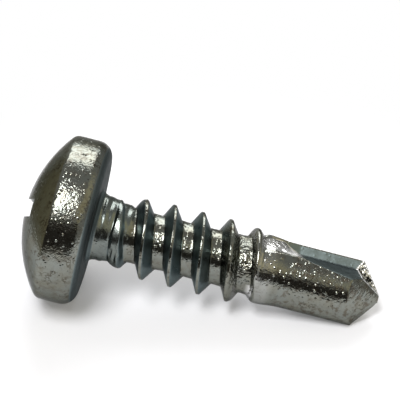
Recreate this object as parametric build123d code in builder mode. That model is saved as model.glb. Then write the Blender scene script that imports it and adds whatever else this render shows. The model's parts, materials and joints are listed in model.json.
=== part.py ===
from build123d import *
import os
from math import acos, asin, atan2, ceil, cos, degrees, hypot, radians, sin, sqrt, tan

# Self drilling pan head screw with a cross recess type H, thread ST4.2 and a forged drill point.
# It is one piece of steel. It is built upright: Z is the screw axis, the seat under the head is
# at Z = 0, the head rises above it and the shank hangs below it. At the end it is laid down to
# rest on the rim of its head and on the edges of one flute. Depths are measured down the shank
# from the seat. In a cross section X and Y are as follows: the cutting face of the first flute
# stands close to the Y axis and looks along +X, and its floor looks along +Y.

# Head
head_diameter = 8.05
head_height = 3.38
crown_radius = 6.1
crown_edge_round = 0.42
seat_edge_round = 0.72

# Cross recess
recess_span = 4.64
recess_arm_width = 0.9
recess_corner_round = 0.55
recess_floor_span = 2.05
recess_floor_arm_width = 0.6
recess_floor_corner_round = 0.42
recess_depth = 2.55
recess_point_depth = 0.4
recess_turn = 2

# Shank between head and drill point
neck_diameter = 3.26
neck_end_diameter = 2.96
neck_taper_depth = 1.0
neck_flare = 0.2
root_diameter = 2.6
root_start_depth = 1.9
root_end_diameter = 2.77
root_end_gap = 0.53

# Rolled thread, right hand
thread_diameter = 3.9
thread_pitch = 1.4
thread_crest_flat = 0.13
head_side_flank = 27
point_side_flank = 33
thread_phase_depth = 2.79
thread_start_depth = 0.5
thread_start_diameter = 2.76
thread_full_depth = 2.55
thread_fade_depth = 6.3
thread_end_depth = 8.7
thread_end_diameter = 3.09

# Drill point
shoulder_depth = 7.88
shoulder_length = 0.26
shoulder_diameter = 3.42
shoulder_fade = 1.3
drill_diameter = 3.19
length = 14.03
point_half_angle = 51.5
point_relief = 12
point_flat = 0.72

# Flutes, each a cutting face and a floor that meet at the flute root
root_height = 1.1
root_setback = 0.08
face_draft = 0.15
heel_height_start = 1.02
heel_height_end = 0.5
heel_bevel = 0.12
flat_start_depth = 7.9
flat_start_height = 1.58
flat_start_offset = 0.48
flute_start_depth = 9.0
flute_start_height = 1.52
flute_full_depth = 9.85

# Gash that opens each flute at the tip
gash_depth = 12.80
gash_heel_depth = 13.19
chisel_half_height = 0.18
lip_setback = 0.2

# Rest, the turn about the axis at which both edges of the lower flute touch the ground
rest_roll = 36.2

# How far a body reaches into the one that it joins or cuts
overlap = 0.1


# Head: a domed crown, a short straight side and a rounded edge round the flat seat.
head_radius = head_diameter / 2
crown_centre = head_height - crown_radius
crown_foot = crown_centre + sqrt(crown_radius**2 - head_radius**2)
with BuildPart() as head:
    with BuildSketch(Plane.XZ):
        with BuildLine():
            Polyline((0, head_height), (0, 0), (head_radius, 0), (head_radius, crown_foot))
            RadiusArc((head_radius, crown_foot), (0, head_height), -crown_radius)
        make_face()
        rim = vertices().group_by(Axis.X)[-1].sort_by(Axis.Y)
        fillet(rim[0], seat_edge_round)
        fillet(vertices().group_by(Axis.X)[-1].sort_by(Axis.Y)[-1], crown_edge_round)
    revolve(axis=Axis.Z)

# Recess: four tapered arms, wider and longer at the crown, over a shallow point.
recess_floor = head_height - recess_depth
arm_foot = crown_centre + sqrt(crown_radius**2 - (recess_span / 2) ** 2)
arm_slope = (recess_span - recess_floor_span) / (arm_foot - recess_floor)
recess_top = head_height + overlap
recess_top_span = recess_floor_span + arm_slope * (recess_top - recess_floor)
turned = Vector(cos(radians(recess_turn)), sin(radians(recess_turn)), 0)
with BuildPart() as recess:
    for height, span, width, corner in (
        (recess_floor, recess_floor_span, recess_floor_arm_width, recess_floor_corner_round),
        (recess_top, recess_top_span, recess_arm_width, recess_corner_round),
    ):
        with BuildSketch(Plane((0, 0, height), x_dir=turned)) as section:
            Rectangle(span, width)
            Rectangle(width, span)
            fillet(section.vertices().sort_by_distance((0, 0, 0))[0:4], corner)
    loft(ruled=True)
    floor_face = faces().sort_by(Axis.Z)[0]
    loft(sections=[floor_face, Vertex(0, 0, recess_floor - recess_point_depth)], ruled=True)

# The round bodies below are turned from this plane, so that none starts where the thread does.
turning_plane = Plane((0, 0, 0), x_dir=(-1, -1, 0), z_dir=(-1, 1, 0))

# Core: a neck that flares into the seat and tapers away from it, then the root of the thread.
root_end_depth = shoulder_depth - root_end_gap
with BuildPart() as core:
    with BuildSketch(turning_plane):
        with BuildLine():
            Polyline(
                (neck_diameter / 2, -neck_flare),
                (neck_end_diameter / 2, -neck_taper_depth),
                (root_diameter / 2, -root_start_depth),
                (root_diameter / 2, -thread_fade_depth),
                (root_end_diameter / 2, -root_end_depth),
                (root_end_diameter / 2, -shoulder_depth - overlap),
                (0, -shoulder_depth - overlap),
                (0, overlap),
                (neck_diameter / 2 + neck_flare, overlap),
                (neck_diameter / 2 + neck_flare, 0),
                close=True,
            )
        make_face()
    revolve(axis=Axis.Z)

# Thread: a ridge swept round the core, one turn at a time. An envelope lets it grow out of the
# neck and fade into the shoulder of the drill point, with the full diameter between them.
thread_radius = thread_diameter / 2
ridge_foot = root_diameter / 2 - overlap
ridge_peak = thread_radius + overlap
head_flank = tan(radians(head_side_flank))
point_flank = tan(radians(point_side_flank))
crest_depth = thread_phase_depth - thread_pitch / 4
lowest_crest = crest_depth + thread_pitch * ceil((thread_end_depth - crest_depth) / thread_pitch)
turns = ceil((lowest_crest - thread_start_depth) / thread_pitch) + 1


def ridge_half(radius, flank):
    """Half the width of the ridge at a radius, on the side with that flank."""
    return thread_crest_flat / 2 + (thread_radius - radius) * flank


with BuildPart() as envelope:
    with BuildSketch(turning_plane):
        with BuildLine():
            Polyline(
                (0, -thread_start_depth),
                (thread_start_diameter / 2, -thread_start_depth),
                (thread_radius, -thread_full_depth),
                (thread_radius, -thread_fade_depth),
                (thread_end_diameter / 2, -thread_end_depth),
                (0, -thread_end_depth),
                close=True,
            )
        make_face()
    revolve(axis=Axis.Z)
ridges = []
for turn in range(turns):
    start = turn * thread_pitch - lowest_crest
    with BuildPart() as ridge:
        with BuildLine():
            helix = Helix(thread_pitch, thread_pitch, ridge_foot, (0, 0, start))
        with BuildSketch(Plane.XZ):
            with BuildLine():
                Polyline(
                    (ridge_foot, start + ridge_half(ridge_foot, head_flank)),
                    (ridge_peak, start + ridge_half(ridge_peak, head_flank)),
                    (ridge_peak, start - ridge_half(ridge_peak, point_flank)),
                    (ridge_foot, start - ridge_half(ridge_foot, point_flank)),
                    close=True,
                )
            make_face()
        sweep(path=helix, is_frenet=True)
    ridges.append(ridge.part)
with BuildPart() as thread:
    add(ridges)
    add(envelope.part, mode=Mode.INTERSECT)

# Drill: a shoulder, then a plain round body. Two leaning cones cut the point, so that it falls
# away behind both cutting lips, and meet in a short flat chisel.
drill_radius = drill_diameter / 2
shoulder_end = shoulder_depth + shoulder_length
apex_depth = length + point_flat / 2 / tan(radians(point_half_angle))
cone_half_angle = degrees(acos(cos(radians(point_half_angle)) * cos(radians(point_relief))))
cone_height = 2 * (apex_depth - shoulder_depth)
cone_top_radius = cone_height * tan(radians(cone_half_angle))
flanks = []
for side in (-1, 1):
    lean = radians(point_relief) * side
    with BuildPart(Plane((0, 0, -apex_depth), z_dir=(sin(lean), 0, cos(lean)))) as flank:
        Cone(0, cone_top_radius, cone_height, align=(Align.CENTER, Align.CENTER, Align.MIN))
    flanks.append(flank.part)
with BuildPart() as drill:
    with BuildSketch(turning_plane):
        with BuildLine():
            Polyline(
                (drill_radius, -shoulder_end - shoulder_fade),
                (drill_radius, -length),
                (0, -length),
                (0, -shoulder_depth),
                (root_end_diameter / 2, -shoulder_depth),
                (shoulder_diameter / 2, -shoulder_end),
            )
            Spline(
                (shoulder_diameter / 2, -shoulder_end),
                (drill_radius, -shoulder_end - shoulder_fade),
                tangents=((0, -1), (0, -1)),
            )
        make_face()
    revolve(axis=Axis.Z)
    for flank in flanks:
        add(flank, mode=Mode.INTERSECT)

# Flute: a notch with a steep cutting face and a floor that sinks towards the heel on its way to
# the tip. At the shoulder it runs out through a flat beaten on the round body.
reach = drill_diameter


def flute_section(depth, root, heel_height):
    """The notch across the drill at a depth: root corner, floor, bevel of the heel, open side."""
    heel = Vector(sqrt(drill_radius**2 - heel_height**2) - heel_bevel, heel_height)
    heel_foot = heel_height - heel_bevel
    foot = Vector(sqrt(drill_radius**2 - heel_foot**2), heel_foot)
    outside = heel + (foot - heel).normalized() * reach
    draft = face_draft * (reach - root[1])
    with BuildSketch(Plane.XY.offset(-depth)) as section:
        with BuildLine():
            Polyline(root, heel, outside, (outside.X, reach), (root[0] - draft, reach), close=True)
        make_face()
    return section.sketch


flat_start_root = (flat_start_offset, flat_start_height)
flute_root = (-root_setback, root_height)
heel_slope = (heel_height_start - heel_height_end) / (gash_heel_depth - flute_full_depth)
flute_exit_depth = length + overlap
heel_height_exit = heel_height_end - heel_slope * (flute_exit_depth - gash_heel_depth)
with BuildPart() as flute:
    loft(
        [
            flute_section(flat_start_depth, flat_start_root, heel_height_start),
            flute_section(flute_start_depth, (0, flute_start_height), heel_height_start),
            flute_section(flute_full_depth, flute_root, heel_height_start),
            flute_section(gash_heel_depth, flute_root, heel_height_end),
            flute_section(flute_exit_depth, flute_root, heel_height_exit),
        ],
        ruled=True,
    )

# Gash: its face turns forward from the cutting face to the lip, and its floor drops from the
# flute to the heel and the chisel.
root_corner = Vector(-root_setback, root_height, -gash_depth)
heel_corner = Vector(sqrt(drill_radius**2 - heel_height_end**2), heel_height_end, -gash_heel_depth)
chisel_corner = Vector(0, chisel_half_height, -length)
lip_depth = apex_depth - drill_radius / tan(radians(point_half_angle))
lip_corner = Vector(-root_setback - face_draft * (drill_radius - root_height), drill_radius, -lip_depth)
lip_end = Vector(-lip_setback, chisel_half_height, -length)
face_normal = (lip_end - root_corner).cross(lip_corner - root_corner).normalized()
floor_normal = (heel_corner - root_corner).cross(chisel_corner - root_corner).normalized()
crease = face_normal.cross(floor_normal).normalized()
with BuildPart() as gash:
    with BuildSketch(Plane(root_corner, x_dir=face_normal, z_dir=crease)):
        with BuildLine():
            opening = face_normal.get_angle(floor_normal)
            up_face = Vector(0, reach)
            along_floor = Vector(reach * sin(radians(opening)), reach * -cos(radians(opening)))
            Polyline((0, 0), up_face, up_face + along_floor, along_floor, close=True)
        make_face()
    extrude(amount=reach, both=True)
with BuildPart() as point:
    add(drill.part)
    with PolarLocations(0, 2):
        add(flute.part, mode=Mode.SUBTRACT)
        add(gash.part, mode=Mode.SUBTRACT)

# Screw
with BuildPart() as upright:
    add(head.part)
    add(core.part)
    add(point.part)
    add(thread.part)
    add(recess.part, mode=Mode.SUBTRACT)

# Rest: laid on its side, it stands on the round under its head's rim and on the lip corner of
# the lower flute. Its tip points along +X.
roll = radians(rest_roll)
rim_drop = head_radius - seat_edge_round - lip_corner.X * sin(roll) - lip_corner.Y * cos(roll)
rim_to_lip = seat_edge_round + lip_depth
tilt = atan2(rim_drop, rim_to_lip) + asin(seat_edge_round / hypot(rim_drop, rim_to_lip))
head_end = Vector(-cos(tilt), 0, sin(tilt))
flute_side = Vector(sin(roll) * sin(tilt), -cos(roll), sin(roll) * cos(tilt))
with BuildPart(Plane((0, 0, 0), x_dir=flute_side, z_dir=head_end)) as lying:
    add(upright.part)
bounds = lying.part.bounding_box()
with BuildPart(Plane((-bounds.center().X, -bounds.center().Y, -bounds.min.Z))) as screw:
    add(lying.part)

os.makedirs("parts", exist_ok=True)
screw.part.label = "screw"
export_step(screw.part, "parts/screw.step")
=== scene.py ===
"""Self drilling screw with a pan head and a cross recess, lying on a white sheet."""
import json
import math

import bmesh
import bpy
import numpy as np
from mathutils import Matrix, Vector, noise


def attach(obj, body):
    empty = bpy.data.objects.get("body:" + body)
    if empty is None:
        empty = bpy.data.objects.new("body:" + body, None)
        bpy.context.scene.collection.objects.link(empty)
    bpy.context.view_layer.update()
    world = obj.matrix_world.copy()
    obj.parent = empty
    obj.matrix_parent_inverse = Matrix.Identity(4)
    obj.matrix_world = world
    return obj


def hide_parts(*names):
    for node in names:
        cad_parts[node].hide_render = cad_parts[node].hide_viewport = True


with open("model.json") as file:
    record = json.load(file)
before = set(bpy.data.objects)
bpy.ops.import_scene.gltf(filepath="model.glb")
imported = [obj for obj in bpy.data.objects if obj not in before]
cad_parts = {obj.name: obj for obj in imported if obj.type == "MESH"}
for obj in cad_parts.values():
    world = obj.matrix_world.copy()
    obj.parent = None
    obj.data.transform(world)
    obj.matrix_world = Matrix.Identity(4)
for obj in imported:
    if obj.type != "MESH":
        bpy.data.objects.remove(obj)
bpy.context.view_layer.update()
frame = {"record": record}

# Head: upset cold from wire between two dies. It has a domed crown, a short straight side and a
# round down to the flat seat. All sizes are in millimetres, on the screw's own upright axis: the
# seat is at height 0, with the crown above it and the point below it.
head_radius = 8.05 / 2
head_height = 3.38
crown_radius = 6.1
crown_edge_round = 0.42
seat_edge_round = 0.72
head_grain = 0.085
HEAD_COLUMNS = 256


def arc(centre, radius, start, end, step):
    """Points along an arc, with its angles in radians and about one step between them."""
    count = max(2, math.ceil(abs(end - start) * radius / step))
    angles = np.linspace(start, end, count + 1)
    return [(centre[0] + radius * math.cos(a), centre[1] + radius * math.sin(a)) for a in angles]


def walk(points, step):
    """The same line with its long runs divided, so that no run is longer than a step."""
    line = [points[0]]
    for start, end in zip(points, points[1:]):
        count = max(1, math.ceil(math.dist(start, end) / step))
        line += [tuple(np.add(start, np.subtract(end, start) * k / count)) for k in range(1, count + 1)]
    return line


def solid(name, verts, faces):
    """A mesh object from vertices and faces."""
    mesh = bpy.data.meshes.new(name)
    mesh.from_pydata([tuple(map(float, v)) for v in verts], [], faces)
    mesh.validate()
    body = bpy.data.objects.new(name, mesh)
    bpy.context.scene.collection.objects.link(body)
    return body


def closed_rings(name, rings):
    """A closed solid from rings of points, with a fan at each end."""
    size = len(rings[0])
    verts = [p for ring in rings for p in ring]
    faces = []
    for k in range(len(rings) - 1):
        for j in range(size):
            a, b = k * size + j, k * size + (j + 1) % size
            faces.append((a, a + size, b + size, b))
    for k, ring in ((0, rings[0]), (len(rings) - 1, rings[-1])):
        verts.append(np.mean(ring, axis=0))
        for j in range(size):
            rim = (k * size + j, k * size + (j + 1) % size)
            faces.append((len(verts) - 1, *(rim if k == 0 else rim[::-1])))
    return solid(name, verts, faces)


def lathe(name, outline, columns):
    """A body turned from an outline of (radius, height) points that runs downwards."""
    turn = np.linspace(0, 2 * math.pi, columns, endpoint=False)
    rings = [np.c_[r * np.cos(turn), r * np.sin(turn), np.full(columns, z)] for r, z in outline]
    return closed_rings(name, rings)


crown_centre = head_height - crown_radius
edge_reach = crown_radius - crown_edge_round
edge_x = head_radius - crown_edge_round
edge_z = crown_centre + math.sqrt(edge_reach**2 - edge_x**2)
edge_angle = math.atan2(edge_z - crown_centre, edge_x)
seat_corner = (head_radius - seat_edge_round, seat_edge_round)
head_outline = arc((0, crown_centre), crown_radius, math.pi / 2 - 0.01, edge_angle, head_grain)
head_outline += arc((edge_x, edge_z), crown_edge_round, edge_angle, 0, head_grain)[1:]
head_outline += arc(seat_corner, seat_edge_round, 0, -math.pi / 2, head_grain)
head_outline += walk([(seat_corner[0], 0), (1.2, 0)], 2 * head_grain)[1:]
head = lathe("head", head_outline, HEAD_COLUMNS)

# Recess: a cross recess of type H, punched into the crown. Its four arms taper down to a small
# cross shaped floor, and a shallow point lies under that.
recess_span = 4.64
recess_arm_width = 0.9
recess_corner_round = 0.55
recess_floor_span = 2.05
recess_floor_arm_width = 0.6
recess_floor_corner_round = 0.42
recess_depth = 2.55
recess_point_depth = 0.4
recess_turn = math.radians(2)
punch_clearance = 0.3
PUNCH_ROWS = 28
POINT_STEPS = 8
BEND_STEPS = 8
SIDE_STEPS = 12
END_STEPS = 8


def cross(span, width, corner, height):
    """A ring of points round a cross, with its inner corners rounded."""
    centre = width / 2 + corner
    run = [(span / 2, width * (k / END_STEPS - 0.5)) for k in range(END_STEPS)]
    run += [(span / 2 + (centre - span / 2) * k / SIDE_STEPS, width / 2) for k in range(SIDE_STEPS)]
    bend = np.linspace(1.5 * math.pi, math.pi, BEND_STEPS + 1)
    run += [(centre + corner * math.cos(a), centre + corner * math.sin(a)) for a in bend]
    run += [(width / 2, centre + (span / 2 - centre) * k / SIDE_STEPS) for k in range(1, SIDE_STEPS)]
    ring = []
    for quarter in range(4):
        turn = quarter * math.pi / 2 + recess_turn
        ring += [(x * math.cos(turn) - y * math.sin(turn), x * math.sin(turn) + y * math.cos(turn), height)
                 for x, y in run]
    return np.array(ring)


recess_floor = head_height - recess_depth
arm_foot = crown_centre + math.sqrt(crown_radius**2 - (recess_span / 2) ** 2)
recess_top = head_height + punch_clearance
arm_slope = (recess_span - recess_floor_span) / (arm_foot - recess_floor)
top_ring = cross(recess_floor_span + arm_slope * (recess_top - recess_floor), recess_arm_width,
                 recess_corner_round, recess_top)
floor_ring = cross(recess_floor_span, recess_floor_arm_width, recess_floor_corner_round, recess_floor)
point_ring = floor_ring * (0.02, 0.02, 1) - (0, 0, recess_point_depth)
punch_rings = [top_ring + (floor_ring - top_ring) * k / PUNCH_ROWS for k in range(PUNCH_ROWS + 1)]
punch_rings += [floor_ring + (point_ring - floor_ring) * k / POINT_STEPS for k in range(1, POINT_STEPS + 1)]
punch = closed_rings("recess_punch", punch_rings)

# Neck and root: what the thread rolling dies leave of the wire. The neck flares into the seat, and
# the root swells a little before the point.
neck_radius = 3.26 / 2
neck_end_radius = 2.96 / 2
neck_taper_depth = 1.0
neck_flare = 0.2
root_radius = 2.6 / 2
root_start_depth = 1.9
thread_fade_depth = 6.3
root_end_radius = 2.77 / 2
root_end_depth = 7.35
shoulder_depth = 7.88
joint_overlap = 0.3
shank_grain = 0.055
SHANK_COLUMNS = 180
core = lathe("core", walk([
    (0.01, joint_overlap), (neck_radius + neck_flare, joint_overlap), (neck_radius + neck_flare, 0),
    (neck_radius, -neck_flare), (neck_end_radius, -neck_taper_depth), (root_radius, -root_start_depth),
    (root_radius, -thread_fade_depth), (root_end_radius, -root_end_depth),
    (root_end_radius, -shoulder_depth - joint_overlap), (0.01, -shoulder_depth - joint_overlap)],
    shank_grain), SHANK_COLUMNS)

# Thread: a right-hand ridge, rolled up out of the wire between the dies. It is cut low where it
# grows out of the neck, and sinks into the core where it runs out before the point.
thread_radius = 3.9 / 2
thread_pitch = 1.4
thread_crest_flat = 0.13
head_side_flank = math.radians(27)
point_side_flank = math.radians(33)
thread_phase_depth = 2.79
thread_start_depth = 0.5
thread_start_radius = 2.76 / 2
thread_full_depth = 2.4
ridge_sink_depth = 6.9
thread_end_depth = 8.7
thread_end_radius = 3.0 / 2
ridge_foot = root_radius - 0.1
crest_depth = thread_phase_depth - thread_pitch / 4
lowest_crest = crest_depth + thread_pitch * math.ceil((thread_end_depth - crest_depth) / thread_pitch)
ridge_turns = (lowest_crest - thread_start_depth) / thread_pitch
ridge_half = (thread_radius - ridge_foot) / 2


def add_node(tree, kind, settings=None, inputs=None, output=0):
    """Adds a node with its settings, gives each of its inputs a value or a link, and returns an output."""
    node = tree.nodes.new(kind)
    for key, value in (settings or {}).items():
        setattr(node, key, value)
    for key, value in (inputs or {}).items():
        if isinstance(value, bpy.types.NodeSocket):
            tree.links.new(value, node.inputs[key])
        else:
            node.inputs[key].default_value = value
    return node.outputs[output] if len(node.outputs) else node


def new_tree(name, sizes):
    """A geometry tree with one named input for each size."""
    tree = bpy.data.node_groups.new(name, "GeometryNodeTree")
    tree.interface.new_socket("Geometry", in_out="INPUT", socket_type="NodeSocketGeometry")
    for label in sizes:
        tree.interface.new_socket(label, in_out="INPUT", socket_type="NodeSocketFloat")
    tree.interface.new_socket("Material", in_out="INPUT", socket_type="NodeSocketMaterial")
    tree.interface.new_socket("Geometry", in_out="OUTPUT", socket_type="NodeSocketGeometry")
    return tree


def grown(name, tree, sizes, material):
    """The mesh that a geometry tree makes with these sizes, as a plain object."""
    body = solid(name, [], [])
    maker = body.modifiers.new("grow", "NODES")
    maker.node_group = tree
    for item in tree.interface.items_tree:
        if item.in_out == "INPUT" and item.name in sizes:
            maker[item.identifier] = sizes[item.name]
        if item.in_out == "INPUT" and item.name == "Material":
            maker[item.identifier] = material
    mesh = bpy.data.meshes.new_from_object(body.evaluated_get(bpy.context.evaluated_depsgraph_get()))
    body.modifiers.clear()
    body.data = mesh
    return body


plating = bpy.data.materials.new("bright zinc plating")
thread_sizes = {
    "Pitch": thread_pitch, "Turns": ridge_turns, "Middle radius": thread_radius - ridge_half,
    "Lowest crest depth": lowest_crest, "Start depth": thread_start_depth,
    "Start radius": thread_start_radius, "Full depth": thread_full_depth, "Crest radius": thread_radius,
    "Fade depth": ridge_sink_depth, "End depth": thread_end_depth,
    "End sink": thread_radius - thread_end_radius}
ridge_tree = new_tree("rolled thread", thread_sizes)
size = ridge_tree.nodes.new("NodeGroupInput").outputs
lift = add_node(ridge_tree, "ShaderNodeMath", {"operation": "MULTIPLY"}, {
    0: size["Pitch"], 1: size["Turns"]})
path = add_node(ridge_tree, "GeometryNodeCurveSpiral", None, {
    "Resolution": SHANK_COLUMNS, "Rotations": size["Turns"], "Start Radius": size["Middle radius"],
    "End Radius": size["Middle radius"], "Height": lift, "Reverse": True})
path = add_node(ridge_tree, "GeometryNodeSetCurveNormal", {"mode": "Z_UP"}, {"Curve": path})
crest_half = thread_crest_flat / 2
foot_above = crest_half + 2 * ridge_half * math.tan(head_side_flank)
foot_below = crest_half + 2 * ridge_half * math.tan(point_side_flank)
profile = add_node(ridge_tree, "GeometryNodeCurvePrimitiveQuadrilateral", {"mode": "POINTS"}, {
    "Point 1": (-ridge_half, -foot_above, 0), "Point 2": (ridge_half, -crest_half, 0),
    "Point 3": (ridge_half, crest_half, 0), "Point 4": (-ridge_half, foot_below, 0)})
profile = add_node(ridge_tree, "GeometryNodeSubdivideCurve", None, {"Curve": profile, "Cuts": 7})
ridge = add_node(ridge_tree, "GeometryNodeCurveToMesh", None, {0: path, 1: profile, "Fill Caps": True})
lowered = add_node(ridge_tree, "ShaderNodeVectorMath", {"operation": "SCALE"}, {
    0: (0, 0, -1), "Scale": size["Lowest crest depth"]})
ridge = add_node(ridge_tree, "GeometryNodeTransform", None, {"Geometry": ridge, "Translation": lowered})
place = add_node(ridge_tree, "GeometryNodeInputPosition")
across_axis = add_node(ridge_tree, "ShaderNodeVectorMath", {"operation": "MULTIPLY"}, {
    0: place, 1: (1, 1, 0)})
reach = add_node(ridge_tree, "ShaderNodeVectorMath", {"operation": "LENGTH"}, {0: across_axis}, "Value")
outwards = add_node(ridge_tree, "ShaderNodeVectorMath", {"operation": "NORMALIZE"}, {0: across_axis})
height = add_node(ridge_tree, "ShaderNodeSeparateXYZ", None, {0: place}, "Z")
depth = add_node(ridge_tree, "ShaderNodeMath", {"operation": "MULTIPLY"}, {0: height, 1: -1.0})
rise = add_node(ridge_tree, "ShaderNodeMapRange", None, {
    "Value": depth, "From Min": size["Start depth"], "From Max": size["Full depth"],
    "To Min": size["Start radius"], "To Max": size["Crest radius"]})
cut = add_node(ridge_tree, "ShaderNodeMath", {"operation": "MINIMUM"}, {0: reach, 1: rise})
sink = add_node(ridge_tree, "ShaderNodeMapRange", {"clamp": False}, {
    "Value": depth, "From Min": size["Fade depth"], "From Max": size["End depth"],
    "To Min": 0.0, "To Max": 1.0})
sink = add_node(ridge_tree, "ShaderNodeMath", {"operation": "MAXIMUM"}, {0: sink, 1: 0.0})
sink = add_node(ridge_tree, "ShaderNodeMath", {"operation": "POWER"}, {0: sink, 1: 2.0})
sink = add_node(ridge_tree, "ShaderNodeMath", {"operation": "MULTIPLY"}, {0: sink, 1: size["End sink"]})
cut = add_node(ridge_tree, "ShaderNodeMath", {"operation": "SUBTRACT"}, {0: cut, 1: sink})
shift = add_node(ridge_tree, "ShaderNodeMath", {"operation": "SUBTRACT"}, {0: cut, 1: reach})
shift = add_node(ridge_tree, "ShaderNodeVectorMath", {"operation": "SCALE"}, {0: outwards, "Scale": shift})
ridge = add_node(ridge_tree, "GeometryNodeSetPosition", None, {"Geometry": ridge, "Offset": shift})
ridge = add_node(ridge_tree, "GeometryNodeRealizeInstances", None, {"Geometry": ridge})
ridge = add_node(ridge_tree, "GeometryNodeSetMaterial", None, {
    "Geometry": ridge, "Material": size["Material"]})
add_node(ridge_tree, "NodeGroupOutput", None, {0: ridge})
thread = grown("thread", ridge_tree, thread_sizes, plating)

# Drill: the blank of the point, forged between two dies. It has a shoulder, a plain round body and
# a point of two leaning cones, each of which falls away behind its cutting lip.
shoulder_end = shoulder_depth + 0.26
shoulder_radius = 3.42 / 2
shoulder_fade = 1.3
drill_radius = 3.19 / 2
length = 14.03
point_half_angle = math.radians(51.5)
point_relief = math.radians(12)
point_flat = 0.72
apex_depth = length + point_flat / 2 / math.tan(point_half_angle)


def point_depth(x, y):
    """How far below the seat the point's surface lies, at a place across the axis."""
    slant = math.cos(point_half_angle) * math.cos(point_relief)
    lean = math.sin(point_relief) * math.cos(point_relief) * np.abs(x)
    steep = math.cos(point_relief) ** 2 - slant**2
    flat = (np.sin(point_relief) * x) ** 2 - slant**2 * (x**2 + y**2)
    return np.minimum(length, apex_depth - (lean + np.sqrt(lean**2 - steep * flat)) / steep)


fade_end = shoulder_end + shoulder_fade
swell = [k / 24 for k in range(25)]
drill_outline = [(0.01, -shoulder_depth)] + walk([
    (0.6, -shoulder_depth), (root_end_radius, -shoulder_depth), (shoulder_radius, -shoulder_end)],
    shank_grain)
drill_outline += [(shoulder_radius + (drill_radius - shoulder_radius) * t * t * (3 - 2 * t),
                   -shoulder_end - shoulder_fade * t) for t in swell[1:]]
around = np.linspace(0, 2 * math.pi, SHANK_COLUMNS, endpoint=False)
compass = np.c_[np.cos(around), np.sin(around)]
rings = [np.c_[compass * r, np.full(SHANK_COLUMNS, z)] for r, z in drill_outline]
wall_end = point_depth(*(compass * drill_radius).T)
WALL_ROWS = 62
POINT_ROWS = 30
for k in range(1, WALL_ROWS + 1):
    rings.append(np.c_[compass * drill_radius, -fade_end - (wall_end - fade_end) * k / WALL_ROWS])
for k in range(1, POINT_ROWS):
    place = compass * drill_radius * (1 - k / POINT_ROWS)
    rings.append(np.c_[place, -point_depth(*place.T)])
drill = closed_rings("drill", rings)

# Flutes: two notches pinched into the point by the dies. Each has a steep cutting face and a
# floor that sinks on its way to the tip, and a gash opens it there.
root_height = 1.1
root_setback = 0.08
face_draft = 0.15
heel_height_start = 1.02
heel_height_end = 0.5
heel_bevel = 0.06
flat_start_depth = 7.9
flat_start_root = (0.48, 1.58)
flute_start_depth = 9.0
flute_start_root = (0, 1.52)
flute_full_depth = 9.85
flute_root = (-root_setback, root_height)
gash_depth = 12.80
gash_heel_depth = 13.19
chisel_half_height = 0.18
lip_setback = 0.2
die_reach = 2 * drill_radius
wedge_reach = 2.4
FLUTE_RUNS = (26, 40, 1, 1, 40)
GASH_RUNS = (44, 1, 1, 44)


def lofted(name, sections, counts):
    """A closed solid with straight walls between sections of the same number of corners."""
    rings = []
    for section in sections:
        ring = []
        for start, end, count in zip(section, np.roll(section, -1, axis=0), counts):
            ring += [start + (end - start) * k / count for k in range(count)]
        rings.append(np.array(ring))
    rows = [rings[0]]
    for upper, lower in zip(rings, rings[1:]):
        count = max(1, math.ceil(np.linalg.norm(lower - upper, axis=1).min() / shank_grain))
        rows += [upper + (lower - upper) * k / count for k in range(1, count + 1)]
    return closed_rings(name, rows)


def flute_section(depth, root, heel_height):
    """The corners of the notch at a depth: root, heel, the open side, and the top of the face."""
    heel = np.array([math.sqrt(drill_radius**2 - heel_height**2) - heel_bevel, heel_height])
    foot_height = heel_height - heel_bevel
    foot = np.array([math.sqrt(drill_radius**2 - foot_height**2), foot_height])
    outside = heel + (foot - heel) / np.linalg.norm(foot - heel) * die_reach
    face_top = (root[0] - face_draft * (die_reach - root[1]), die_reach)
    corners = [root, heel, outside, (outside[0], die_reach), face_top]
    return np.array([(x, y, -depth) for x, y in corners])


heel_slope = (heel_height_start - heel_height_end) / (gash_heel_depth - flute_full_depth)
exit_depth = length + 0.3
flute = lofted("flute_die", [
    flute_section(flat_start_depth, flat_start_root, heel_height_start),
    flute_section(flute_start_depth, flute_start_root, heel_height_start),
    flute_section(flute_full_depth, flute_root, heel_height_start),
    flute_section(gash_heel_depth, flute_root, heel_height_end),
    flute_section(exit_depth, flute_root, heel_height_end - heel_slope * (exit_depth - gash_heel_depth))],
    FLUTE_RUNS)
root_corner = np.array([*flute_root, -gash_depth])
heel_corner = np.array([math.sqrt(drill_radius**2 - heel_height_end**2), heel_height_end, -gash_heel_depth])
chisel_corner = np.array([0, chisel_half_height, -length])
lip_depth = apex_depth - drill_radius / math.tan(point_half_angle)
lip_corner = np.array([-root_setback - face_draft * (drill_radius - root_height), drill_radius, -lip_depth])
lip_end = np.array([-lip_setback, chisel_half_height, -length])


def unit_cross(first, second):
    """The unit vector square to two others."""
    square = np.cross(first, second)
    return square / np.linalg.norm(square)


face_normal = unit_cross(lip_end - root_corner, lip_corner - root_corner)
floor_normal = unit_cross(heel_corner - root_corner, chisel_corner - root_corner)
crease = unit_cross(face_normal, floor_normal)
up_face = np.cross(crease, face_normal) * wedge_reach
opening = math.acos(face_normal @ floor_normal)
along_floor = (face_normal * math.sin(opening) - up_face / wedge_reach * math.cos(opening)) * wedge_reach
wedge = np.array([
    root_corner, root_corner + up_face, root_corner + up_face + along_floor, root_corner + along_floor])
gash = lofted("gash_die", [wedge + crease * die_reach, wedge - crease * die_reach], GASH_RUNS)


# One piece: the real screw is forged and rolled from a single length of steel wire, so the bodies
# above are cut and joined here into one solid.
def outward(body):
    """Turns a closed mesh's faces outwards."""
    bm = bmesh.new()
    bm.from_mesh(body.data)
    bmesh.ops.recalc_face_normals(bm, faces=bm.faces)
    if bm.calc_volume(signed=True) < 0:
        bmesh.ops.reverse_faces(bm, faces=bm.faces)
    bm.to_mesh(body.data)
    bm.free()


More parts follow.
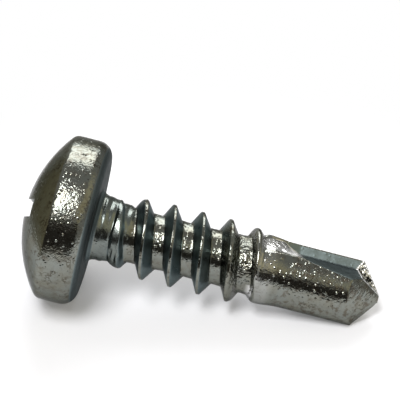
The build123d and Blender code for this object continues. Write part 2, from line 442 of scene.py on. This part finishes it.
def half_turned(body):
    """A copy of a body, turned half way round the axis."""
    copy = bpy.data.objects.new(body.name + "_opposite", body.data.copy())
    copy.data.transform(Matrix.Rotation(math.pi, 4, "Z"))
    bpy.context.scene.collection.objects.link(copy)
    return copy


def forged(body, operation, tools):
    """Cuts or joins a body with its tools, which are used up."""
    for tool in tools:
        outward(tool)
        change = body.modifiers.new(tool.name, "BOOLEAN")
        change.solver = "MANIFOLD"
        change.operation = operation
        change.object = tool
    mesh = bpy.data.meshes.new_from_object(body.evaluated_get(bpy.context.evaluated_depsgraph_get()))
    body.modifiers.clear()
    body.data = mesh
    for tool in tools:
        bpy.data.objects.remove(tool)


outward(head)
outward(drill)
forged(head, "DIFFERENCE", [punch])
forged(drill, "DIFFERENCE", [flute, half_turned(flute), gash, half_turned(gash)])
forged(head, "UNION", [core, drill, thread])
screw = head
screw.name = "plated_screw"

# Surface of the forging: wrinkles at the neck, lumps that the thread dies leave on the root, a
# swollen end of the thread, torn metal where the flute runs out, coarse crystals on the gash.
count = len(screw.data.vertices)
spots = np.empty(count * 3)
screw.data.vertices.foreach_get("co", spots)
spots = spots.reshape(-1, 3)
facing = np.empty(count * 3)
screw.data.vertices.foreach_get("normal", facing)
facing = facing.reshape(-1, 3)
reach = np.hypot(spots[:, 0], spots[:, 1])
depth = -spots[:, 2]
side = np.where(spots[:, 1] < 0, -1.0, 1.0)
half_turn = np.c_[side, side, np.ones(count)]
turned = spots * half_turn
turned_facing = facing * half_turn
steep = np.abs(facing[:, 2])


def ripple(wavelength, seed):
    """Smooth noise from -1 to 1 at each point, with a wavelength in millimetres along x, y and z."""
    places = spots / wavelength + seed
    return np.array([noise.noise(p) for p in places])


def within(values, low, high, soft):
    """1 between two limits, falling softly to 0 outside them."""
    return np.clip(np.minimum(values - low, high - values) / soft + 1, 0, 1)


def on_plane(corner, normal):
    """Where the surface lies on the plane through a corner, in either flute."""
    near = np.abs((turned - corner) @ normal) < 0.01
    return near & (np.abs(turned_facing @ normal) > 0.7)


on_crown = (np.hypot(reach, spots[:, 2] - crown_centre) > crown_radius - 0.03) & (depth < -0.3)
in_recess = (depth < -0.3) & (reach < recess_span / 2 + 0.1) & ~on_crown
on_point = np.abs(depth - point_depth(spots[:, 0], spots[:, 1])) < 0.03
in_flute = within(depth, flute_full_depth - 0.4, 20, 0.6) * (reach < drill_radius - 0.03) * ~on_point
on_gash = on_plane(root_corner, face_normal) | on_plane(root_corner, floor_normal)
on_gash &= (depth > gash_depth - 0.05) & (reach < drill_radius + 0.01)
torn = within(depth, flat_start_depth + 0.1, 9.7, 0.35) * (reach < drill_radius - 0.04)
torn *= (turned[:, 1] > 0.9) & (np.abs(turned[:, 0]) < 1.35) & (turned_facing[:, 1] > 0.2)
neck = within(depth, 0.35, 1.5, 0.35) * (reach < 1.75)
root = within(depth, 1.7, 7.7, 0.3) * (reach < root_end_radius + 0.12)
collar = within(depth, 6.9, 7.5, 0.2) * (reach < shoulder_radius)
knob = within(depth, 7.3, 8.3, 0.3) * (reach > root_end_radius + 0.05)
move = np.zeros(count)
for place, height, wavelength, seed in (
        (1, 0.006, (0.9, 0.9, 0.9), 3.1), (1, 0.003, (0.35, 0.35, 0.35), 7.7),
        (neck, 0.06, (1.0, 1.0, 0.17), 11.3), (root, 0.02, (0.45, 0.45, 0.35), 17.9),
        (collar, 0.03, (0.28, 0.28, 0.2), 23.3), (torn, 0.06, (0.4, 0.4, 0.3), 31.7),
        (torn, 0.03, (0.2, 0.2, 0.16), 37.1), (on_gash, 0.03, (0.25, 0.25, 0.25), 41.9),
        (in_flute, 0.012, (0.16, 0.16, 1.4), 47.3)):
    move += place * height * ripple(wavelength, seed)
core_reach = np.interp(depth, (shoulder_depth, shoulder_end), (root_end_radius, shoulder_radius))
sunk = np.clip((depth - ridge_sink_depth) / (thread_end_depth - ridge_sink_depth), 0, None) ** 2
crest_reach = thread_radius - sunk * (thread_radius - thread_end_radius)
swollen = np.clip(core_reach + 4 * (reach - core_reach), reach, np.maximum(reach, crest_reach))
worn = spots + facing * move[:, None]
worn[:, :2] *= (1 + knob * (swollen / np.maximum(reach, 0.1) - 1))[:, None]
edges = np.empty(len(screw.data.edges) * 2, int)
screw.data.edges.foreach_get("vertices", edges)
first, second = edges.reshape(-1, 2).T
shares = (np.bincount(first, minlength=count) + np.bincount(second, minlength=count))[:, None]


def around_each(values):
    """The mean of each point's neighbours."""
    total = np.zeros_like(values)
    np.add.at(total, first, values[second])
    np.add.at(total, second, values[first])
    return total / shares


def rim(mask):
    """1 along the border of a mask, one point wide."""
    mean = around_each(mask.astype(float)[:, None])[:, 0]
    return 4 * mean * (1 - mean)


for softening in (0.5, 0.5, *[knob[:, None] * 0.8] * 16):
    worn += softening * (around_each(worn) - worn)
screw.data.vertices.foreach_set("co", worn.ravel())

# What the plating shows by place: it is bluish in hollows, coarse on torn metal, plain where the dies
# pressed it flat and stained towards the point. Painted shade darkens the seat under the head, and
# painted highlights lie on lips, burrs, torn metal and beside the shoulder.
flank = within(depth, 0.9, 5.8, 0.6) * (steep > 0.35) * (reach > root_radius + 0.03)
# Painted shade: the seat and its round under the head count twice in the hollow tint, which paints them dark
# slate.
under_head_shade = within(depth, -seat_edge_round, 0.3, 0.1) * np.clip((-facing[:, 2] - 0.62) / 0.12, 0, 1)
flute_floor = in_flute * np.clip((turned_facing[:, 1] - 0.5) / 0.2, 0, 0.7)
hollow_and_shade = np.clip(in_recess + 0.5 * neck + flank + in_flute + flute_floor + 2 * under_head_shade, 0, 2)
# Painted highlights: a near white colour beside the shoulder, along the thread's run-out, on the gash and
# recess edges and on the torn ramp.
shoulder_highlight = within(depth, shoulder_end, shoulder_end + 0.5, 0.3) * (facing[:, 2] < 0.3)
run_out_highlight = within(depth, 7.2, 8.0, 0.15) * (reach > root_end_radius + 0.04) * (steep > 0.3)
painted_highlight = 3 * rim(on_gash) * (reach < drill_radius + 0.02) + 0.8 * rim(in_recess)
for name, values, most in (
        ("hollow_and_shade", hollow_and_shade, 2),
        ("coarse", 2 * on_gash + 0.4 * torn + 0.6 * collar, 2),
        ("plain", hollow_and_shade + 0.7 * on_crown + 0.3 * neck, 1),
        ("stained", 0.5 + 0.5 * within(depth, 9.4, 15, 0.6) - 0.5 * within(depth, 8.0, 8.9, 0.4), 1),
        ("painted_highlight", painted_highlight + 0.2 * run_out_highlight + 0.16 * shoulder_highlight + torn, 1)):
    shown = np.clip(values, 0, most).astype(np.float32)
    screw.data.attributes.new(name, "FLOAT", "POINT").data.foreach_set("value", shown)

# Rest: the screw has rolled until it lies on its head's rim and on the edges of its lower flute. It
# is turned about its own axis and laid where the frame has it.
rest_roll = math.radians(36.2)
crown_mount = next(m for m in frame["record"]["mounts"] if m["name"] == "cross_recess")
head_end = Vector(crown_mount["axis"]).normalized()
tilt = math.asin(head_end.z)
upwards = Vector((math.sin(tilt), 0, math.cos(tilt)))
across = Vector((0, -math.cos(rest_roll), 0)) + math.sin(rest_roll) * upwards
seat = Vector(crown_mount["pos_m"]) - head_end * head_height / 1000
laid = Matrix((across, head_end.cross(across), head_end)).transposed().to_4x4()
screw.data.transform(Matrix.Translation(seat) @ laid @ Matrix.Scale(0.001, 4))
screw.data.polygons.foreach_set("use_smooth", [True] * len(screw.data.polygons))


# Zinc plating: electroplated, bright and blue passivated. It gives a grey mirror with fine grain
# and small droplets, bluish in the hollows and a little brown outside, with pits and stains. Its
# colour also carries painted shade under the head and painted highlights on edges and gash crystals.
def paint(code):
    """A colour written as sRGB hex, as linear red, green, blue and alpha."""
    parts = [int(code[k:k + 2], 16) / 255 for k in (1, 3, 5)]
    return (*(p / 12.92 if p <= 0.04045 else ((p + 0.055) / 1.055) ** 2.4 for p in parts), 1)


MILLIMETRES = 1000
DROPLET_SPACING = 0.22
plating.use_nodes = True
zinc = plating.node_tree
shader = zinc.nodes["Principled BSDF"]
shader.inputs["Metallic"].default_value = 1
shader.inputs["Specular Tint"].default_value = paint("#a8a8a8")
place = add_node(zinc, "ShaderNodeTexCoord", output="Object")
place = add_node(zinc, "ShaderNodeMapping", None, {"Vector": place, "Scale": (MILLIMETRES,) * 3})
shown = {}
for name in ("hollow_and_shade", "coarse", "plain", "stained", "painted_highlight"):
    shown[name] = add_node(zinc, "ShaderNodeAttribute", {"attribute_name": name}, None, "Fac")
for name, grain_mm, detail, roughness in (
        ("cloud", 0.7, 3, 0.6), ("stain", 0.3, 3, 0.65), ("pit", 0.16, 2, 0.5), ("vein", 0.5, 3, 0.6),
        ("veined", 0.8, 2, 0.5), ("pore", 0.17, 1, 0.5), ("dulling", 0.3, 2, 0.6),
        ("grain", 0.13, 2, 0.6), ("torn", 0.14, 1, 0.6)):
    shown[name] = add_node(zinc, "ShaderNodeTexNoise", None, {
        "Vector": place, "Scale": 1 / grain_mm, "Detail": detail, "Roughness": roughness})
shown["vein"] = add_node(zinc, "ShaderNodeMath", {"operation": "SUBTRACT"}, {0: shown["vein"], 1: 0.5})
shown["vein"] = add_node(zinc, "ShaderNodeMath", {"operation": "ABSOLUTE"}, {0: shown["vein"]})
cells = add_node(zinc, "ShaderNodeTexVoronoi", None, {"Vector": place, "Scale": 1 / DROPLET_SPACING})
shown["chosen"] = cells.node.outputs["Color"]
shown["droplet"] = add_node(zinc, "ShaderNodeMapRange", {"interpolation_type": "SMOOTHSTEP"}, {
    "Value": cells, "From Min": 0.36, "From Max": 0.0})
for name, source, low, high, at_low, at_high in (
        ("cloud", "cloud", 0.35, 0.7, 0, 1), ("stain", "stain", 0.5, 0.62, 0, 1),
        ("pit", "pit", 0.68, 0.74, 0, 1), ("vein", "vein", 0.012, 0.03, 1, 0),
        ("veined", "veined", 0.5, 0.6, 0, 1), ("pore", "pore", 0.47, 0.53, 1, 0),
        ("dulling", "dulling", 0.3, 0.7, 0.1, 0.2), ("chosen", "chosen", 0.2, 0.3, 0, 1),
        # The gash's coarse crystals get a pale colour, which is a painted highlight on them.
        ("deep_tint_and_shade", "hollow_and_shade", 1, 2, 0, 1), ("crystals_and_highlight", "coarse", 1, 2, 0, 1),
        ("ragged", "coarse", 0, 1, 0, 1), ("even", "plain", 0, 1, 1, 0.2)):
    shown[name] = add_node(zinc, "ShaderNodeMapRange", None, {
        "Value": shown[source], "From Min": low, "From Max": high, "To Min": at_low, "To Max": at_high})
for name, operation, other in (
        ("stain", "MULTIPLY", "stained"), ("vein", "MULTIPLY", "veined"), ("pit", "MAXIMUM", "vein"),
        ("pore", "MULTIPLY", "crystals_and_highlight"), ("droplet", "MULTIPLY", "chosen")):
    shown[name] = add_node(zinc, "ShaderNodeMath", {"operation": operation}, {
        0: shown[name], 1: shown[other]})
# The deep slate colour paints shade under the head, and is the darkest bluish tint in the flute floors.
colour = paint("#7f837e")
for name, tint in (
        ("cloud", "#7b7b71"), ("stain", "#656158"), ("pit", "#5a574f"), ("hollow_and_shade", "#6e797a"),
        # The near white colour here is painted highlight.
        ("deep_tint_and_shade", "#4f5657"), ("crystals_and_highlight", "#dfdfd9"), ("pore", "#282824"), ("painted_highlight", "#ededed")):
    colour = add_node(zinc, "ShaderNodeMix", {"data_type": "RGBA"}, {
        0: shown[name], 6: colour, 7: paint(tint)}, 2)
zinc.links.new(colour, shader.inputs["Base Color"])
dull = add_node(zinc, "ShaderNodeMath", {"operation": "MULTIPLY_ADD"}, {
    0: shown["hollow_and_shade"], 1: 0.17, 2: shown["dulling"]})
zinc.links.new(dull, shader.inputs["Roughness"])
relief = {}
for height, height_mm, strength in (
        ("grain", 0.018, "even"), ("droplet", 0.022, "even"), ("torn", 0.1, "ragged")):
    relief["Normal"] = add_node(zinc, "ShaderNodeBump", None, {
        "Height": shown[height], "Distance": height_mm / MILLIMETRES, "Strength": shown[strength], **relief})
zinc.links.new(relief["Normal"], shader.inputs["Normal"])
screw.data.materials.clear()
screw.data.materials.append(plating)
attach(screw, "root")
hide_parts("screw")

# Floor: a small round white sheet. It shows a little brighter than it is lit, so that it stays
# white, it keeps the screw's shadow, and its edge fades into the white round it.
FLOOR_RADIUS = 0.022
bpy.ops.mesh.primitive_circle_add(vertices=128, radius=FLOOR_RADIUS, fill_type="NGON")
floor = bpy.context.object
floor.name = "floor"
sheet = bpy.data.materials.new("white sheet")
sheet.use_nodes = True
paper = sheet.node_tree
paper_shader = paper.nodes["Principled BSDF"]
paper_shader.inputs["Base Color"].default_value = paint("#dfdfe3")
paper_shader.inputs["Roughness"].default_value = 0.9
paper_shader.inputs["Specular IOR Level"].default_value = 0.2
ray = paper.nodes.new("ShaderNodeLightPath").outputs
seen = add_node(paper, "ShaderNodeMath", {"operation": "MAXIMUM"}, {
    0: ray["Is Camera Ray"], 1: ray["Is Glossy Ray"]})
seen = add_node(paper, "ShaderNodeMath", {"operation": "MAXIMUM"}, {0: seen, 1: ray["Is Transmission Ray"]})
lift = add_node(paper, "ShaderNodeMath", {"operation": "MULTIPLY"}, {0: seen, 1: 0.15})
paper_shader.inputs["Emission Color"].default_value = (1, 1, 1, 1)
paper.links.new(lift, paper_shader.inputs["Emission Strength"])
spot = add_node(paper, "ShaderNodeTexCoord", output="Object")
spot = add_node(paper, "ShaderNodeVectorMath", {"operation": "LENGTH"}, {0: spot}, "Value")
edge = add_node(paper, "ShaderNodeMapRange", {"interpolation_type": "SMOOTHSTEP"}, {
    "Value": spot, "From Min": 0.6 * FLOOR_RADIUS, "From Max": 0.95 * FLOOR_RADIUS})
edge = add_node(paper, "ShaderNodeMath", {"operation": "MULTIPLY"}, {0: edge, 1: ray["Is Camera Ray"]})
glow = add_node(paper, "ShaderNodeEmission", None, {"Color": (1, 1, 1, 1)})
fade = add_node(paper, "ShaderNodeMixShader", None, {0: edge, 1: paper_shader.outputs[0], 2: glow})
paper.links.new(fade, paper.nodes["Material Output"].inputs["Surface"])
floor.data.materials.append(sheet)


# Light: two large soft windows in a pale room. The dark end of the room, behind the camera, gives
# the plating its dark bands.
def toward(azimuth, elevation):
    """A direction from the screw: 0 is the camera's side, 90 is to the right."""
    a, e = math.radians(azimuth), math.radians(elevation)
    return Vector((math.sin(a) * math.cos(e), -math.cos(a) * math.cos(e), math.sin(e)))


LAMP_DISTANCE = 0.3
for name, azimuth, elevation, width, height, watts in (
        ("window", -18, 60, 20, 26, 0.76), ("rear window", 182, 42, 30, 36, 0.44)):
    lamp = bpy.data.lights.new(name, "AREA")
    lamp.shape = "RECTANGLE"
    lamp.size = 2 * LAMP_DISTANCE * math.tan(math.radians(width / 2))
    lamp.size_y = 2 * LAMP_DISTANCE * math.tan(math.radians(height / 2))
    lamp.energy = watts
    holder = bpy.data.objects.new(name, lamp)
    holder.location = toward(azimuth, elevation) * LAMP_DISTANCE
    holder.rotation_euler = toward(azimuth, elevation).to_track_quat("Z", "Y").to_euler()
    bpy.context.scene.collection.objects.link(holder)

room = bpy.data.worlds.new("room")
bpy.context.scene.world = room
room.use_nodes = True
air = room.node_tree
direction = add_node(air, "ShaderNodeTexCoord", output="Generated")
sideways = add_node(air, "ShaderNodeSeparateXYZ", None, {0: direction}, "X")
forward = add_node(air, "ShaderNodeMath", {"operation": "MULTIPLY"}, {0: sideways.node.outputs["Y"], 1: -1})
around = add_node(air, "ShaderNodeMath", {"operation": "ARCTAN2"}, {0: sideways, 1: forward})
up = add_node(air, "ShaderNodeMath", {"operation": "ARCSINE"}, {0: sideways.node.outputs["Z"]})
heading = add_node(air, "ShaderNodeCombineXYZ", None, {0: around, 1: up})
tone = paint("#a8a8a4")
for azimuth, elevation, width, height, soft, colour in (
        (0, -51, 800, 78, 10, "#cccac0"), (65, 38, 90, 32, 12, "#e8dfbf"), (-160, 8, 40, 50, 14, "#dfdfd8"),
        (-97, 8, 86, 46, 20, "#969078"), (-12, 9, 96, 42, 8, "#3f3c38")):
    centre = (math.radians(azimuth), math.radians(elevation), 0)
    half = (math.radians(width / 2), math.radians(height / 2), 0)
    away = add_node(air, "ShaderNodeVectorMath", {"operation": "SUBTRACT"}, {0: heading, 1: centre})
    away = add_node(air, "ShaderNodeVectorMath", {"operation": "ABSOLUTE"}, {0: away})
    away = add_node(air, "ShaderNodeVectorMath", {"operation": "SUBTRACT"}, {0: away, 1: half})
    away = add_node(air, "ShaderNodeSeparateXYZ", None, {0: away})
    away = add_node(air, "ShaderNodeMath", {"operation": "MAXIMUM"}, {0: away, 1: away.node.outputs["Y"]})
    amount = add_node(air, "ShaderNodeMapRange", {"interpolation_type": "SMOOTHSTEP"}, {
        "Value": away, "From Min": math.radians(soft / 2), "From Max": math.radians(-soft / 2)})
    tone = add_node(air, "ShaderNodeMix", {"data_type": "RGBA"}, {0: amount, 6: tone, 7: paint(colour)}, 2)
seen = add_node(air, "ShaderNodeLightPath", output="Is Camera Ray")
tone = add_node(air, "ShaderNodeMix", {"data_type": "RGBA"}, {0: seen, 6: tone, 7: (1, 1, 1, 1)}, 2)
air.links.new(tone, air.nodes["Background"].inputs["Color"])

# Camera: a long lens that looks down on the screw from in front, a little from the right.
view_azimuth = math.radians(-7.738)
view_elevation = math.radians(33.305)
view_roll = math.radians(0.403)
aim = Vector((-0.199, 0.901, 5.196)) / MILLIMETRES
distance = 0.080
lens = 151.2
ahead = Vector((math.sin(view_azimuth) * math.cos(view_elevation),
                math.cos(view_azimuth) * math.cos(view_elevation), -math.sin(view_elevation)))
level = Vector((math.cos(view_azimuth), -math.sin(view_azimuth), 0))
camera = bpy.data.objects.new("camera", bpy.data.cameras.new("camera"))
camera.data.lens = lens
camera.data.clip_start = 0.005
bpy.context.scene.collection.objects.link(camera)
pose = Matrix((level, level.cross(ahead), -ahead)).transposed().to_4x4()
camera.matrix_world = Matrix.Translation(aim - ahead * distance) @ pose @ Matrix.Rotation(view_roll, 4, "Z")
bpy.context.scene.camera = camera
bpy.context.scene.view_settings.view_transform = "Standard"

bpy.context.view_layer.update()
